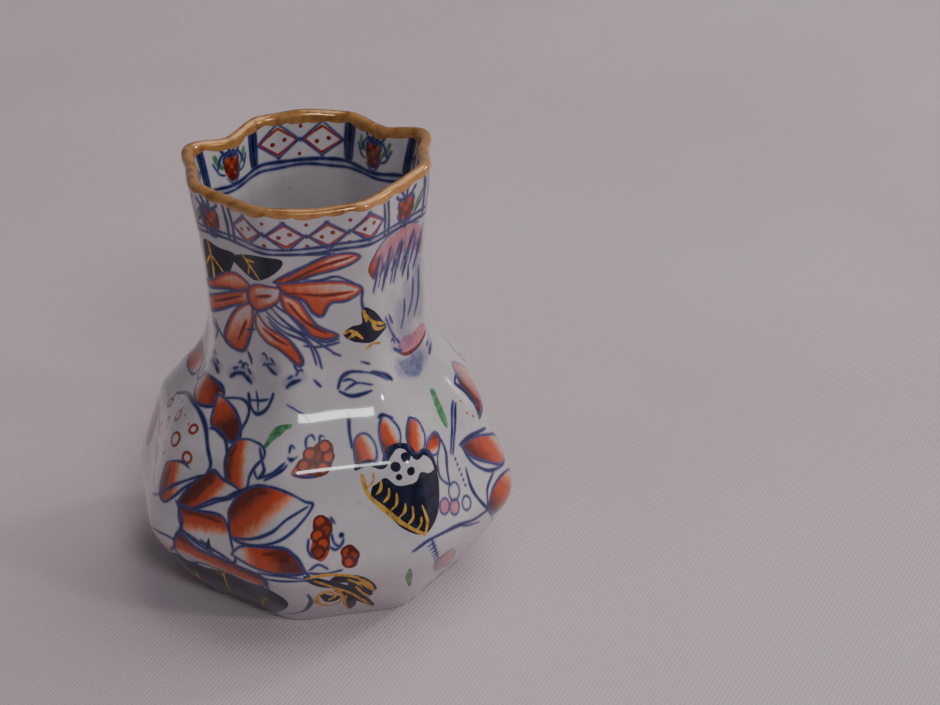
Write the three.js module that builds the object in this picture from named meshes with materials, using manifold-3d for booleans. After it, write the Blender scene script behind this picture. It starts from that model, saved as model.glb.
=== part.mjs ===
// Octagonal cream jug in press-moulded porcelain. Millimetres, +Z up.
// The origin is the middle of the foot, on the surface that the jug stands on.
// The front facet and its pouring lip face -Y, and the handle stands behind at +Y.
import * as THREE from 'three';
import { mergeVertices } from 'three/addons/utils/BufferGeometryUtils.js';
import Module from 'manifold-3d';

// ---- driving dimensions ----
const sides = 8;
const stepsPerSide = 6;
const cornerSharpness = 24; // exponent of the rounded octagon, higher is crisper
const panelDip = 0.35; // how far the middle of each facet sinks

const jugHeight = 101.5; // height of the rim before it waves
const wallThickness = 3;
const rimRadius = 1.4; // half the rounded edge's thickness

// Outer outline from the foot up: apothem, height and softness of the corner there.
const outline = [
  { r: 31.0, z: 0.6, soft: 0 },
  { r: 36.6, z: 7.6, soft: 4 },
  { r: 43.6, z: 20.3, soft: 4.5 },
  { r: 36.2, z: 41.8, soft: 5 },
  { r: 24.0, z: 56.5, soft: 6.5 },
  { r: 24.8, z: 84.0, soft: 6 },
  { r: 26.6, z: jugHeight - rimRadius, soft: 0 },
];
const neckFootHeight = 56.5;
const neckTwist = -0.1; // radians that the rim is turned against the body

// The rim's rise and spread at every corner and facet middle, starting at the front
// middle and going round to the right. The back stands up, and the front spreads to pour.
const rimRise = [-0.4, 0.2, 0.2, 1.5, 0.5, 0.1, -1.3, -0.2, 0.8, -0.2, -1.9, -0.5, -0.5, 0, -0.5, 0];
const rimSpread = [1.5, 0.7, 0, 0.3, 0.8, 2.2, 0, 0, 0, 0, 0, 2.0, 0.8, 0, 0, 0.7];

const footWidth = 4;
const footChamfer = 0.6;
const recessDepth = 2.2;
const discThickness = 3;
const fitGap = 0.3; // clearance left where two pieces meet
const ledgeWidth = 1.3; // how far the disc rests over the foot

// Middle line of the handle in the YZ plane, with its width and thickness there.
const handleLine = [
  { y: 20.0, z: 83.0, width: 10.5, thickness: 7.0 },
  { y: 27.5, z: 85.6, width: 9.6, thickness: 6.2 },
  { y: 35.0, z: 84.6, width: 8.6, thickness: 5.4 },
  { y: 39.4, z: 78.6, width: 8.0, thickness: 5.0 },
  { y: 39.6, z: 70.5, width: 7.6, thickness: 4.8 },
  { y: 37.2, z: 62.5, width: 7.6, thickness: 4.8 },
  { y: 33.6, z: 55.0, width: 8.2, thickness: 5.2 },
  { y: 29.6, z: 47.6, width: 9.2, thickness: 6.0 },
  { y: 26.0, z: 42.0, width: 9.6, thickness: 6.4 },
];
const handleSteps = 32;
const handleSectionSteps = 16;
const handleSquareness = 3.2; // exponent of the rounded handle section

const glazedPorcelain = { color: 0xe9ebf2, roughness: 0.18, metalness: 0 };
const bareBiscuit = { color: 0xddd8cf, roughness: 0.75, metalness: 0 };

// ---- outlines ----

// Turns a list of corners into a smooth line, with each corner eased by its softness.
function easedLine(corners, stepsPerCorner, stepsPerRun) {
  const points = [];
  const toVector = (corner) => new THREE.Vector2(corner.r, corner.z);
  let runStart = toVector(corners[0]);
  for (let i = 1; i < corners.length; i += 1) {
    const corner = toVector(corners[i]);
    const soft = corners[i].soft;
    const before = toVector(corners[i - 1]).sub(corner).setLength(soft).add(corner);
    for (let step = 0; step < stepsPerRun; step += 1) {
      points.push(runStart.clone().lerp(before, step / stepsPerRun));
    }
    if (i === corners.length - 1) {
      points.push(corner);
      break;
    }
    const after = toVector(corners[i + 1]).sub(corner).setLength(soft).add(corner);
    const bend = new THREE.QuadraticBezierCurve(before, corner, after);
    points.push(...bend.getPoints(stepsPerCorner).slice(0, -1));
    runStart = after;
  }
  return points;
}

// Value of a ring of control numbers at an angle, eased between them.
function aroundRing(values, angle) {
  const turns = angle / (2 * Math.PI);
  const place = (turns - Math.floor(turns)) * values.length;
  const index = Math.floor(place);
  const blend = (1 - Math.cos(Math.PI * (place - index))) / 2;
  const from = values[index % values.length];
  const to = values[(index + 1) % values.length];
  return from + (to - from) * blend;
}

// Radius of the rounded octagon with unit apothem at an angle.
function octagonRadius(angle) {
  let sum = 0;
  for (let side = 0; side < sides; side += 1) {
    const facing = Math.cos(angle - (side * 2 * Math.PI) / sides);
    sum += Math.max(facing, 0) ** cornerSharpness;
  }
  return sum ** (-1 / cornerSharpness);
}

// A point of the jug's wall at an angle from the front, for one apothem and height.
function wallPoint(apothem, height, angle) {
  const up = Math.max(0, (height - neckFootHeight) / (jugHeight - neckFootHeight));
  const dip = (panelDip * (1 + Math.cos(sides * angle))) / 2;
  const spread = aroundRing(rimSpread, angle) * up ** 3;
  const radius = apothem * octagonRadius(angle) - dip + spread;
  const turned = angle + neckTwist * up;
  const rise = aroundRing(rimRise, angle) * up ** 2;
  return new THREE.Vector3(radius * Math.sin(turned), -radius * Math.cos(turned), height + rise);
}

// ---- meshes ----

// Closed body from rings of equal length. A band that loops joins its last ring to its
// first, and any other body is capped at both ends.
function loft(rings, loops) {
  const count = rings[0].length;
  const positions = rings.flat().flatMap((point) => [point.x, point.y, point.z]);
  const index = [];
  const bands = loops ? rings.length : rings.length - 1;
  for (let band = 0; band < bands; band += 1) {
    const low = band * count;
    const high = ((band + 1) % rings.length) * count;
    for (let i = 0; i < count; i += 1) {
      const next = (i + 1) % count;
      index.push(low + i, low + next, high + next);
      index.push(low + i, high + next, high + i);
    }
  }
  if (!loops) {
    for (const end of [0, rings.length - 1]) {
      const middle = positions.length / 3;
      const centre = new THREE.Vector3();
      rings[end].forEach((point) => centre.addScaledVector(point, 1 / count));
      positions.push(centre.x, centre.y, centre.z);
      for (let i = 0; i < count; i += 1) {
        const triangle = [end * count + i, end * count + ((i + 1) % count), middle];
        index.push(...(end === 0 ? triangle.reverse() : triangle));
      }
    }
  }
  const geometry = new THREE.BufferGeometry();
  geometry.setAttribute('position', new THREE.Float32BufferAttribute(positions, 3));
  geometry.setIndex(index);
  return geometry;
}

// One level ring of the jug's wall.
function wallRing(apothem, height) {
  const count = sides * stepsPerSide;
  const ring = [];
  for (let i = 0; i < count; i += 1) {
    ring.push(wallPoint(apothem, height, (i * 2 * Math.PI) / count));
  }
  return ring;
}

const outerLine = easedLine(outline, 4, 2);

// The inside follows the outside one wall thickness in, down to the top of the base disc.
const discTop = recessDepth + fitGap + discThickness;
const floorLevel = discTop + fitGap;
const footInside = outline[0].r - footWidth;
const discApothem = footInside + ledgeWidth;

function wallSection() {
  const inner = outerLine
    .filter((point, i) => i % 2 === 0 && point.y > floorLevel + wallThickness)
    .map((point) => new THREE.Vector2(point.x - wallThickness, point.y))
    .reverse();
  const rim = [];
  const rimMiddle = outerLine.at(-1).x - wallThickness / 2;
  for (let step = 1; step < 6; step += 1) {
    const angle = (step * Math.PI) / 6;
    const x = rimMiddle + (wallThickness / 2) * Math.cos(angle);
    rim.push(new THREE.Vector2(x, jugHeight - rimRadius + rimRadius * Math.sin(angle)));
  }
  const floorEdge = outerLine.find((point) => point.y > floorLevel).x - wallThickness;
  const foot = [
    [floorEdge, floorLevel],
    [discApothem + fitGap, floorLevel],
    [discApothem + fitGap, recessDepth],
    [footInside, recessDepth],
    [footInside, 0],
    [outline[0].r - footChamfer, 0],
  ];
  return [...outerLine, ...rim, ...inner, ...foot.map(([x, y]) => new THREE.Vector2(x, y))];
}

function vesselWall() {
  return loft(wallSection().map((point) => wallRing(point.x, point.y)), true);
}

// The space that the outside of the jug takes up, grown by the fit gap.
function vesselEnvelope() {
  const rings = outerLine.map((point) => wallRing(point.x + fitGap, point.y));
  return loft([...rings, wallRing(outerLine.at(-1).x + fitGap, jugHeight + 1)], false);
}

function baseDisc() {
  const bottom = recessDepth + fitGap;
  const edge = 0.5;
  return loft([
    wallRing(discApothem - edge, bottom),
    wallRing(discApothem, bottom + edge),
    wallRing(discApothem, discTop - edge),
    wallRing(discApothem - edge, discTop),
  ], false);
}

// A strap handle swept down its middle line, with a rounded, nearly square section.
function handleBar() {
  const middle = new THREE.CatmullRomCurve3(
    handleLine.map((station) => new THREE.Vector3(0, station.y, station.z)),
    false,
    'centripetal',
  );
  const sizes = new THREE.CatmullRomCurve3(
    handleLine.map((station) => new THREE.Vector3(station.width, station.thickness, 0)),
  );
  const side = new THREE.Vector3(1, 0, 0);
  const rings = [];
  for (let step = 0; step <= handleSteps; step += 1) {
    const along = step / handleSteps;
    const centre = middle.getPoint(along);
    const outward = new THREE.Vector3().crossVectors(middle.getTangent(along), side).normalize();
    const size = sizes.getPoint(along);
    const ring = [];
    for (let i = 0; i < handleSectionSteps; i += 1) {
      const angle = (i * 2 * Math.PI) / handleSectionSteps;
      const reach = (Math.abs(Math.cos(angle)) ** handleSquareness
        + Math.abs(Math.sin(angle)) ** handleSquareness) ** (-1 / handleSquareness);
      const point = centre.clone();
      point.addScaledVector(side, (size.x / 2) * reach * Math.cos(angle));
      point.addScaledVector(outward, (size.y / 2) * reach * Math.sin(angle));
      ring.push(point);
    }
    rings.push(ring);
  }
  return loft(rings, false);
}

// ---- joining and cutting ----
const wasm = await Module();
wasm.setup();

function toSolid(geometry) {
  const bare = geometry.clone();
  bare.deleteAttribute('normal');
  bare.deleteAttribute('uv');
  const merged = mergeVertices(bare, 1e-4);
  return new wasm.Manifold(new wasm.Mesh({
    numProp: 3,
    vertProperties: new Float32Array(merged.attributes.position.array),
    triVerts: new Uint32Array(merged.index.array),
  }));
}

function toGeometry(solid) {
  const mesh = solid.getMesh();
  const geometry = new THREE.BufferGeometry();
  geometry.setAttribute('position', new THREE.BufferAttribute(mesh.vertProperties, 3));
  geometry.setIndex(new THREE.BufferAttribute(mesh.triVerts, 1));
  geometry.computeVertexNormals();
  return geometry;
}

// One half of the jug: everything on one side of the seam that runs through the front
// lip and the handle. The sign is -1 for the left half and 1 for the right half.
function wallHalf(sign) {
  const reach = 120;
  const block = new THREE.BoxGeometry(reach, 2 * reach, 2 * reach);
  block.translate((sign * (reach + fitGap)) / 2, 0, reach / 2);
  return toGeometry(toSolid(vesselWall()).intersect(toSolid(block)));
}

function addPiece(group, name, geometry, finish) {
  const mesh = new THREE.Mesh(geometry, new THREE.MeshStandardMaterial(finish));
  mesh.name = name;
  group.add(mesh);
}

const jug = new THREE.Group();
addPiece(jug, 'body_left_half', wallHalf(-1), glazedPorcelain);
addPiece(jug, 'body_right_half', wallHalf(1), glazedPorcelain);
addPiece(jug, 'base_disc', baseDisc(), bareBiscuit);
const handle = toSolid(handleBar()).subtract(toSolid(vesselEnvelope()));
addPiece(jug, 'handle', toGeometry(handle), glazedPorcelain);

export default jug;
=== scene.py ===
import math

import bpy
import numpy as np
from mathutils import Matrix, Vector


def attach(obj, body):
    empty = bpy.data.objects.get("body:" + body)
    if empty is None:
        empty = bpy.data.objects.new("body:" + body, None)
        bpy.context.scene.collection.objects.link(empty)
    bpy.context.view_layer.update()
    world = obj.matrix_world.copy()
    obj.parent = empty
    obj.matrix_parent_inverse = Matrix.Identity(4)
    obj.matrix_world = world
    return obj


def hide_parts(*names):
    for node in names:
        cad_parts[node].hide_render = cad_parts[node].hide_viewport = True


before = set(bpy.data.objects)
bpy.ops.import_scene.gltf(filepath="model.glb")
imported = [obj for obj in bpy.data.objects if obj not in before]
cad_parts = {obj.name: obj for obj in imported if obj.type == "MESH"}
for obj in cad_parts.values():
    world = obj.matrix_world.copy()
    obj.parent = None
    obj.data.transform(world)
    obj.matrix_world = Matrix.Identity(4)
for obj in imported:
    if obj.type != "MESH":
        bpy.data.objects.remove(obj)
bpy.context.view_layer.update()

# Octagonal porcelain cream jug, painted in cobalt, iron red, green, pink and gold.
# Wall shapes are worked out in millimetres and turned into metres when a mesh is made.
mm = 0.001
print("frame loaded:", ", ".join(sorted(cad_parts)))


# ---------- wall shape ----------
wallShape = {
    # apothem, height and softness of each bend of the outside, from the foot up
    "outline": [(31.0, 0.6, 0), (36.6, 7.6, 4), (43.6, 20.3, 4.5), (36.2, 41.8, 1.4),
                (24.0, 56.5, 8.5), (24.8, 84.0, 6), (26.6, 100.1, 0)],
    "rimHeight": 101.5,
    "rimRound": 1.4,       # half thickness of the rounded lip
    # the same for the inside, from the lip down to the middle of the floor
    "inside": [(23.8, 100.1, 0), (21.8, 84.0, 6), (21.0, 55.4, 7), (33.5, 40.3, 4),
               (40.3, 20.6, 4), (33.6, 6.4, 3.5), (0.8, 6.4, 0)],
    "paintedDownTo": 84,   # the inside is painted, and its mesh fine, above this height
    "neckFoot": 56.5,
    "twist": -0.1,         # the rim is turned a little against the body
    "panelDip": 0.35,      # facets sink a little in the middle
    "crispness": 24,       # higher gives sharper corners between facets
    # the rim's rise and spread at each corner and facet middle, from the front to the right
    "rise": [-0.4, 0.2, 0.2, 1.5, 0.5, 0.1, -1.3, -0.2, 0.8, -0.2, -1.9, -0.5, -0.5, 0, -0.5, 0],
    "spread": [1.5, 0.7, 0, 0.3, 0.8, 2.2, 0, 0, 0, 0, 0, 2.0, 0.8, 0, 0, 0.7],
    "footInside": 27.0,
    "footBottom": [(30.3, 0.0), (30.75, 0.12), (31.0, 0.5)],
    "recess": 2.3,
    "discSeat": 28.7,
    "turnOff": 0.3,        # small bevel at each corner underneath
    "ceiling": 5.6,        # underside of the floor, above the base disc
    "unevenness": 0.07,    # hand-made waviness of the surface
}


def easedLine(corners, bendSteps=24, runSteps=24):
    # a line through the bends, each one rounded by its softness
    points = []
    start = np.array(corners[0][:2], float)
    for i in range(1, len(corners)):
        corner = np.array(corners[i][:2], float)
        soft = corners[i][2]
        back = np.array(corners[i - 1][:2], float) - corner
        before = corner + back / np.linalg.norm(back) * soft
        points += [start + (before - start) * k / runSteps for k in range(runSteps)]
        if i == len(corners) - 1:
            points.append(corner)
            break
        ahead = np.array(corners[i + 1][:2], float) - corner
        after = corner + ahead / np.linalg.norm(ahead) * soft
        for k in range(bendSteps):
            t = k / bendSteps
            points.append((1 - t) ** 2 * before + 2 * t * (1 - t) * corner + t * t * after)
        start = after
    return np.array(points)


def aroundRing(values, angle):
    # eased value of a ring of control numbers at an angle in radians
    ring = np.array(values, float)
    place = (angle / (2 * math.pi)) % 1.0 * len(ring)
    index = np.floor(place).astype(int)
    blend = (1 - np.cos(math.pi * (place - index))) / 2
    first = ring[index % len(ring)]
    return first + (ring[(index + 1) % len(ring)] - first) * blend


def octagonRadius(angle):
    # rounded octagon with unit apothem
    sides = np.arange(8) * math.pi / 4
    facing = np.maximum(np.cos(angle[..., None] - sides), 0)
    sharp = wallShape["crispness"]
    return (facing ** sharp).sum(-1) ** (-1 / sharp)


def wallPoint(apothem, height, angle):
    # points of the wall, in millimetres, at angles from the front round to the right
    apothem, height, angle = np.broadcast_arrays(
        np.asarray(apothem, float), np.asarray(height, float), np.asarray(angle, float))
    neck = wallShape["rimHeight"] - wallShape["neckFoot"]
    up = np.maximum(0, (height - wallShape["neckFoot"]) / neck)
    dip = wallShape["panelDip"] * (1 + np.cos(8 * angle)) / 2 * np.minimum(1, apothem / 20)
    radius = apothem * octagonRadius(angle) - dip
    radius = radius + aroundRing(wallShape["spread"], angle) * up ** 3
    turned = angle + wallShape["twist"] * up
    risen = height + aroundRing(wallShape["rise"], angle) * up ** 2
    return np.stack([radius * np.sin(turned), -radius * np.cos(turned), risen], -1)


def curveThrough(given, steps, closed=False):
    # a rounded line through given points
    count = len(given)
    line = []
    for i in range(count if closed else count - 1):
        picks = [(i + k) % count if closed else min(max(i + k, 0), count - 1) for k in (-1, 0, 1, 2)]
        before, start, end, after = given[picks]
        for k in range(steps):
            t = k / steps
            line.append(0.5 * (2 * start + (end - before) * t
                               + (2 * before - 5 * start + 4 * end - after) * t ** 2
                               + (3 * start - 3 * end + after - before) * t ** 3))
    line.append(given[0] if closed else given[-1])
    return np.array(line)


def spaced(points, gap):
    # the same line with points an even distance apart
    points = np.array(points, float)
    steps = np.linalg.norm(np.diff(points, axis=0), axis=1)
    length = np.concatenate([[0], np.cumsum(steps)])
    count = max(2, int(round(length[-1] / gap)) + 1)
    at = np.linspace(0, length[-1], count)
    return np.stack([np.interp(at, length, points[:, i]) for i in (0, 1)], 1)


def meshFromGrid(name, points):
    # a closed skin from a grid of rings, rows by columns, capped by a single point at each end
    rows, columns = points.shape[:2]
    vertices = np.vstack([points.reshape(-1, 3), points[0].mean(0), points[-1].mean(0)])
    row, column = np.meshgrid(np.arange(rows - 1), np.arange(columns), indexing="ij")
    nextColumn = (column + 1) % columns
    quads = np.stack([row * columns + column, row * columns + nextColumn,
                      (row + 1) * columns + nextColumn, (row + 1) * columns + column], -1)
    quads = quads.reshape(-1, 4)
    ring = np.arange(columns)
    following = (ring + 1) % columns
    last = (rows - 1) * columns
    caps = np.concatenate([np.stack([following, ring, np.full(columns, len(vertices) - 2)], -1),
                           np.stack([last + ring, last + following, np.full(columns, len(vertices) - 1)],
                                    -1)])
    corners = np.concatenate([quads.ravel(), caps.ravel()]).astype(np.int32)
    sizes = np.concatenate([np.full(len(quads), 4), np.full(len(caps), 3)])
    starts = np.concatenate([[0], np.cumsum(sizes)[:-1]]).astype(np.int32)
    mesh = bpy.data.meshes.new(name)
    mesh.vertices.add(len(vertices))
    mesh.vertices.foreach_set("co", (vertices * mm).astype(np.float32).ravel())
    mesh.loops.add(len(corners))
    mesh.loops.foreach_set("vertex_index", corners)
    mesh.polygons.add(len(sizes))
    mesh.polygons.foreach_set("loop_start", starts)
    mesh.update(calc_edges=True)
    mesh.validate()
    mesh.shade_smooth()
    piece = bpy.data.objects.new(name, mesh)
    bpy.context.scene.collection.objects.link(piece)
    return piece


def addLayers(piece, layers):
    # paint layers become point attributes, with bare end points
    count = len(piece.data.vertices)
    for name, values in layers.items():
        flat = np.zeros(count, np.float32)
        flat[:values.size] = values.ravel()
        made = piece.data.attributes.new(name, "FLOAT", "POINT")
        made.data.foreach_set("value", flat)


def addBakeMap(piece, rows, columns, along):
    # an even unwrapped map: round the jug across, along the wall upwards
    mesh = piece.data
    layer = mesh.uv_layers.new(name="OFBake")
    count = len(mesh.loops)
    vertex = np.zeros(count, np.int32)
    mesh.loops.foreach_get("vertex_index", vertex)
    low, high = along.min(), along.max()
    upward = np.concatenate([np.repeat((along - low) / (high - low), columns), [0.0, 1.0]])
    across = np.concatenate([np.tile(np.arange(columns) / columns, rows), [0.5, 0.5]])
    u, v = across[vertex], upward[vertex]
    starts = np.zeros(len(mesh.polygons), np.int32)
    mesh.polygons.foreach_get("loop_start", starts)
    ends = np.append(starts[1:], count)
    polygon = np.repeat(np.arange(len(starts)), ends - starts)
    widest = np.maximum.reduceat(u, starts)
    narrow = np.minimum.reduceat(u, starts)
    wraps = (widest - narrow > 0.6)[polygon] & (u < 0.4)
    u = np.where(wraps, u + 1.0, u)
    layer.data.foreach_set("uv", np.stack([u, v], 1).astype(np.float32).ravel() * 0.998 + 0.001)


# ---------- painting ----------
allPaint = ("pink", "green", "red", "wash", "navy", "cobalt", "gold")


class PaintedWall:
    # Brushwork on a grid of wall points. A place is (degrees from the front round to the right,
    # millimetres along the wall from the foot). A layer holds how far inside a painted edge
    # every point lies, 0.5 being the edge itself.
    edge = 0.42    # half the width over which an edge fades, in millimetres

    def __init__(self, angles, along, girth):
        self.angles = angles
        self.along = along
        self.perDegree = girth * math.pi / 180
        self.layers = {}
        self.turned()

    def turned(self, turn=0.0, mirrorAt=None, lift=0.0):
        # everything painted after this is turned round the jug, mirrored or lifted
        self.turn, self.mirrorAt, self.lift = turn, mirrorAt, lift

    def placed(self, points):
        moved = np.array(points, float)
        if self.mirrorAt is not None:
            moved[:, 0] = 2 * self.mirrorAt - moved[:, 0]
        return moved + np.array([self.turn, self.lift])

    def layer(self, name):
        if name not in self.layers:
            self.layers[name] = np.zeros((len(self.along), len(self.angles)), np.float32)
        return self.layers[name]

    def near(self, points, reach):
        # the part of the grid round some points: its cells, angles, distances and scale
        rows = np.nonzero((self.along > points[:, 1].min() - reach)
                          & (self.along < points[:, 1].max() + reach))[0]
        if len(rows) == 0:
            return None
        scale = self.perDegree[rows, None]
        margin = reach / max(scale.min(), 0.05)
        step = 360 / len(self.angles)
        first = math.floor((points[:, 0].min() - margin) / step)
        last = math.ceil((points[:, 0].max() + margin) / step)
        columns = np.arange(first, last + 1)
        cells = np.ix_(rows, columns % len(self.angles))
        return cells, columns[None] * step, self.along[rows, None], scale

    def fromLine(self, spot, points, halves):
        angle, along, scale = spot[1:]
        best = np.full((len(along), angle.shape[1]), 1e3)
        for i in range(len(points) - 1):
            ex = (points[i + 1, 0] - points[i, 0]) * scale
            ey = points[i + 1, 1] - points[i, 1]
            dx = (angle - points[i, 0]) * scale
            dy = along - points[i, 1]
            t = np.clip((dx * ex + dy * ey) / (ex * ex + ey * ey + 1e-9), 0, 1)
            width = halves[i] + (halves[i + 1] - halves[i]) * t
            best = np.minimum(best, np.hypot(dx - t * ex, dy - t * ey) - width)
        return best

    def fromOutline(self, spot, outline):
        angle, along = spot[1:3]
        distance = self.fromLine(spot, outline, np.zeros(len(outline)))
        inside = np.zeros(distance.shape, bool)
        for i in range(len(outline) - 1):
            a0, s0 = outline[i]
            a1, s1 = outline[i + 1]
            if s0 != s1:
                crosses = (s0 > along) != (s1 > along)
                inside ^= crosses & (angle < (a1 - a0) * (along - s0) / (s1 - s0) + a0)
        return np.where(inside, -distance, distance)

    def put(self, name, spot, distance, tone=0.7):
        cells = spot[0]
        cover = np.clip(0.5 - distance / (2 * self.edge), 0, 1)
        layer = self.layer(name)
        if name == "red":
            # a stroke over dry red mixes its tone in softly, elsewhere the tone is its own
            shade = self.layer("redTone")
            over = np.clip((cover - 0.2) / 0.5, 0, 1) * (layer[cells] > 0.55)
            fresh = (cover > 0.02) & (layer[cells] <= 0.55)
            shade[cells] = np.where(fresh, tone, shade[cells] + (tone - shade[cells]) * over)
        layer[cells] = np.maximum(layer[cells], cover)

    def rounded(self, points, closed=False):
        return curveThrough(self.placed(points), 5, closed)

    def stroke(self, name, points, width=0.6, taper=0.5, tone=0.7, straight=False):
        # one brush line, fuller in the middle than at its ends
        line = self.placed(points) if straight else self.rounded(points)
        t = np.linspace(0, 1, len(line))
        full = width / 2 * (taper + (1 - taper) * np.sin(math.pi * t) ** 0.6)
        full = full * (1.1 + 0.18 * np.sin(2.7 * len(points) * t + points[0][0]))
        spot = self.near(line, width / 2 + 2 * self.edge)
        if spot:
            self.put(name, spot, self.fromLine(spot, line, full), tone)

    def fill(self, name, points, dark=None, pale=None, most=0.7, least=0.0, rimmed=0.0):
        # a filled shape, whose red may run from a dark place to a pale one, and
        # be darker by some amount along its edge
        outline = self.rounded(points, closed=True)
        spot = self.near(outline, 2 * self.edge)
        if not spot:
            return
        tone = most
        if dark is not None:
            angle, along, scale = spot[1:]
            start, end = self.placed([dark, pale])
            ex, ey = (end[0] - start[0]) * scale, end[1] - start[1]
            dx, dy = (angle - start[0]) * scale, along - start[1]
            share = np.clip((dx * ex + dy * ey) / (ex * ex + ey * ey + 1e-9), 0, 1)
            tone = most + (least - most) * share
        distance = self.fromOutline(spot, outline)
        tone = tone + rimmed * (np.clip(1 + distance / 1.1, 0, 1) - 0.5)
        self.put(name, spot, distance, tone)

    def reserve(self, points):
        # clears a shape of what was painted there before
        outline = self.rounded(points, closed=True)
        spot = self.near(outline, 2 * self.edge)
        if spot:
            cells = spot[0]
            kept = 1 - np.clip(0.5 - self.fromOutline(spot, outline) / (2 * self.edge), 0, 1)
            for name in allPaint:
                self.layer(name)[cells] = np.minimum(self.layer(name)[cells], kept)

    def petal(self, outline, dark, pale, line=0.5, most=1.1, least=-0.15, rimmed=0.0):
        # a red petal that fades to white, with a cobalt outline
        self.reserve(outline)
        self.fill("red", outline, dark, pale, most, least, rimmed)
        if line:
            self.stroke("cobalt", outline + outline[:1], line)

    def dot(self, name, place, radius, tone=0.7, line=0.0):
        # a filled dot, or only its ring where a line's width is given
        centre = self.placed([place])
        spot = self.near(centre, radius + line + 2 * self.edge)
        if spot:
            angle, along, scale = spot[1:]
            away = np.hypot((angle - centre[0, 0]) * scale, along - centre[0, 1])
            self.put(name, spot, np.abs(away - radius) - line / 2 if line else away - radius, tone)

    def ring(self, name, place, radius, width, tone=0.7):
        self.dot(name, place, radius, tone, width)

    def quarters(self, height):
        # points right round the wall, a quarter at a time, with their height given by a rule
        for quarter in range(4):
            yield [(a, height(a)) for a in range(quarter * 90 - 6, quarter * 90 + 97, 6)]

    def hoop(self, name, height, width):
        for points in self.quarters(height):
            self.stroke(name, points, width, 0.95)

    def hazeHoop(self, name, height, width, strength):
        for points in self.quarters(height):
            self.haze(name, points, width, strength)

    def haze(self, name, points, width, strength):
        # a soft, watery brush mark
        line = self.rounded(points)
        spot = self.near(line, width)
        if spot:
            cells = spot[0]
            away = self.fromLine(spot, line, np.zeros(len(line)))
            soft = strength * np.clip(1 - (away / (width / 2)) ** 2, 0, 1)
            self.layer(name)[cells] = np.maximum(self.layer(name)[cells], soft)


# ---------- finishes ----------
class Wire:
    # an output of a node, which can be used in ordinary sums
    def __init__(self, finish, socket):
        self.finish = finish
        self.socket = socket

    def sum(self, operation, first, second):
        return self.finish.node("ShaderNodeMath", {"operation": operation}, {0: first, 1: second})

    def __add__(self, other):
        return self.sum("ADD", self, other)

    def __radd__(self, other):
        return self.sum("ADD", other, self)

    def __sub__(self, other):
        return self.sum("SUBTRACT", self, other)

    def __rsub__(self, other):
        return self.sum("SUBTRACT", other, self)

    def __mul__(self, other):
        return self.sum("MULTIPLY", self, other)

    def __rmul__(self, other):
        return self.sum("MULTIPLY", other, self)

    def atLeast(self, other):
        return self.sum("MAXIMUM", self, other)

    def atMost(self, other):
        return self.sum("MINIMUM", self, other)


class Finish:
    # a node material and the few kinds of node that it is made of
    def __init__(self, name):
        self.material = bpy.data.materials.new(name)
        self.material.use_nodes = True
        self.tree = self.material.node_tree
        self.tree.nodes.clear()
        self.place = None

    def node(self, kind, settings, values, output=0):
        made = self.tree.nodes.new(kind)
        for key, value in settings.items():
            setattr(made, key, value)
        for key, value in values.items():
            if isinstance(value, Wire):
                self.tree.links.new(value.socket, made.inputs[key])
            else:
                made.inputs[key].default_value = value
        return Wire(self, made.outputs[output])

    def position(self):
        if self.place is None:
            self.place = self.node("ShaderNodeTexCoord", {}, {}, "Object")
        return self.place

    def noise(self, scale, detail=3.0, roughness=0.5, stretch=None):
        place = self.position()
        if stretch:
            place = self.node("ShaderNodeVectorMath", {"operation": "MULTIPLY"},
                              {0: place, 1: stretch})
        return self.node("ShaderNodeTexNoise", {}, {
            "Vector": place, "Scale": scale, "Detail": detail, "Roughness": roughness})

    def ramp(self, value, low, high, least=0.0, most=1.0):
        return self.node("ShaderNodeMapRange", {"interpolation_type": "SMOOTHSTEP"}, {
            "Value": value, "From Min": low, "From Max": high, "To Min": least, "To Max": most})

    def blend(self, share, first, second):
        return self.node("ShaderNodeMix", {"data_type": "RGBA"}, {0: share, 6: first, 7: second}, 2)

    def layer(self, name):
        return self.node("ShaderNodeAttribute", {"attribute_name": name}, {}, "Fac")

    def bump(self, height, distance, strength, before=None):
        values = {"Height": height, "Distance": distance, "Strength": strength}
        if before:
            values["Normal"] = before
        return self.node("ShaderNodeBump", {}, values)

    def surface(self, values):
        shader = self.node("ShaderNodeBsdfPrincipled", {}, values)
        out = self.tree.nodes.new("ShaderNodeOutputMaterial")
        self.tree.links.new(shader.socket, out.inputs["Surface"])
        return self.material


def colour(red, green, blue):
    return (red, green, blue, 1.0)


porcelainFinish = {
    "glaze": colour(0.465, 0.430, 0.440),
    "glazeShade": colour(0.400, 0.374, 0.392),
    "cobaltDeep": colour(0.007, 0.009, 0.050),
    "cobaltThin": colour(0.032, 0.042, 0.165),
    "navy": colour(0.003, 0.004, 0.014),
    "navyWorn": colour(0.010, 0.013, 0.040),
    "ironDark": colour(0.085, 0.009, 0.004),
    "ironRed": colour(0.42, 0.052, 0.012),
    "ironPale": colour(0.60, 0.25, 0.14),
    "green": colour(0.035, 0.14, 0.055),
    "greenPale": colour(0.11, 0.26, 0.12),
    "pink": colour(0.40, 0.085, 0.12),
    "gold": colour(0.68, 0.40, 0.085),
    "goldWorn": colour(0.36, 0.19, 0.040),
    "ochre": colour(0.47, 0.23, 0.075),
    "ochreDark": colour(0.24, 0.095, 0.022),
}


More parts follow.
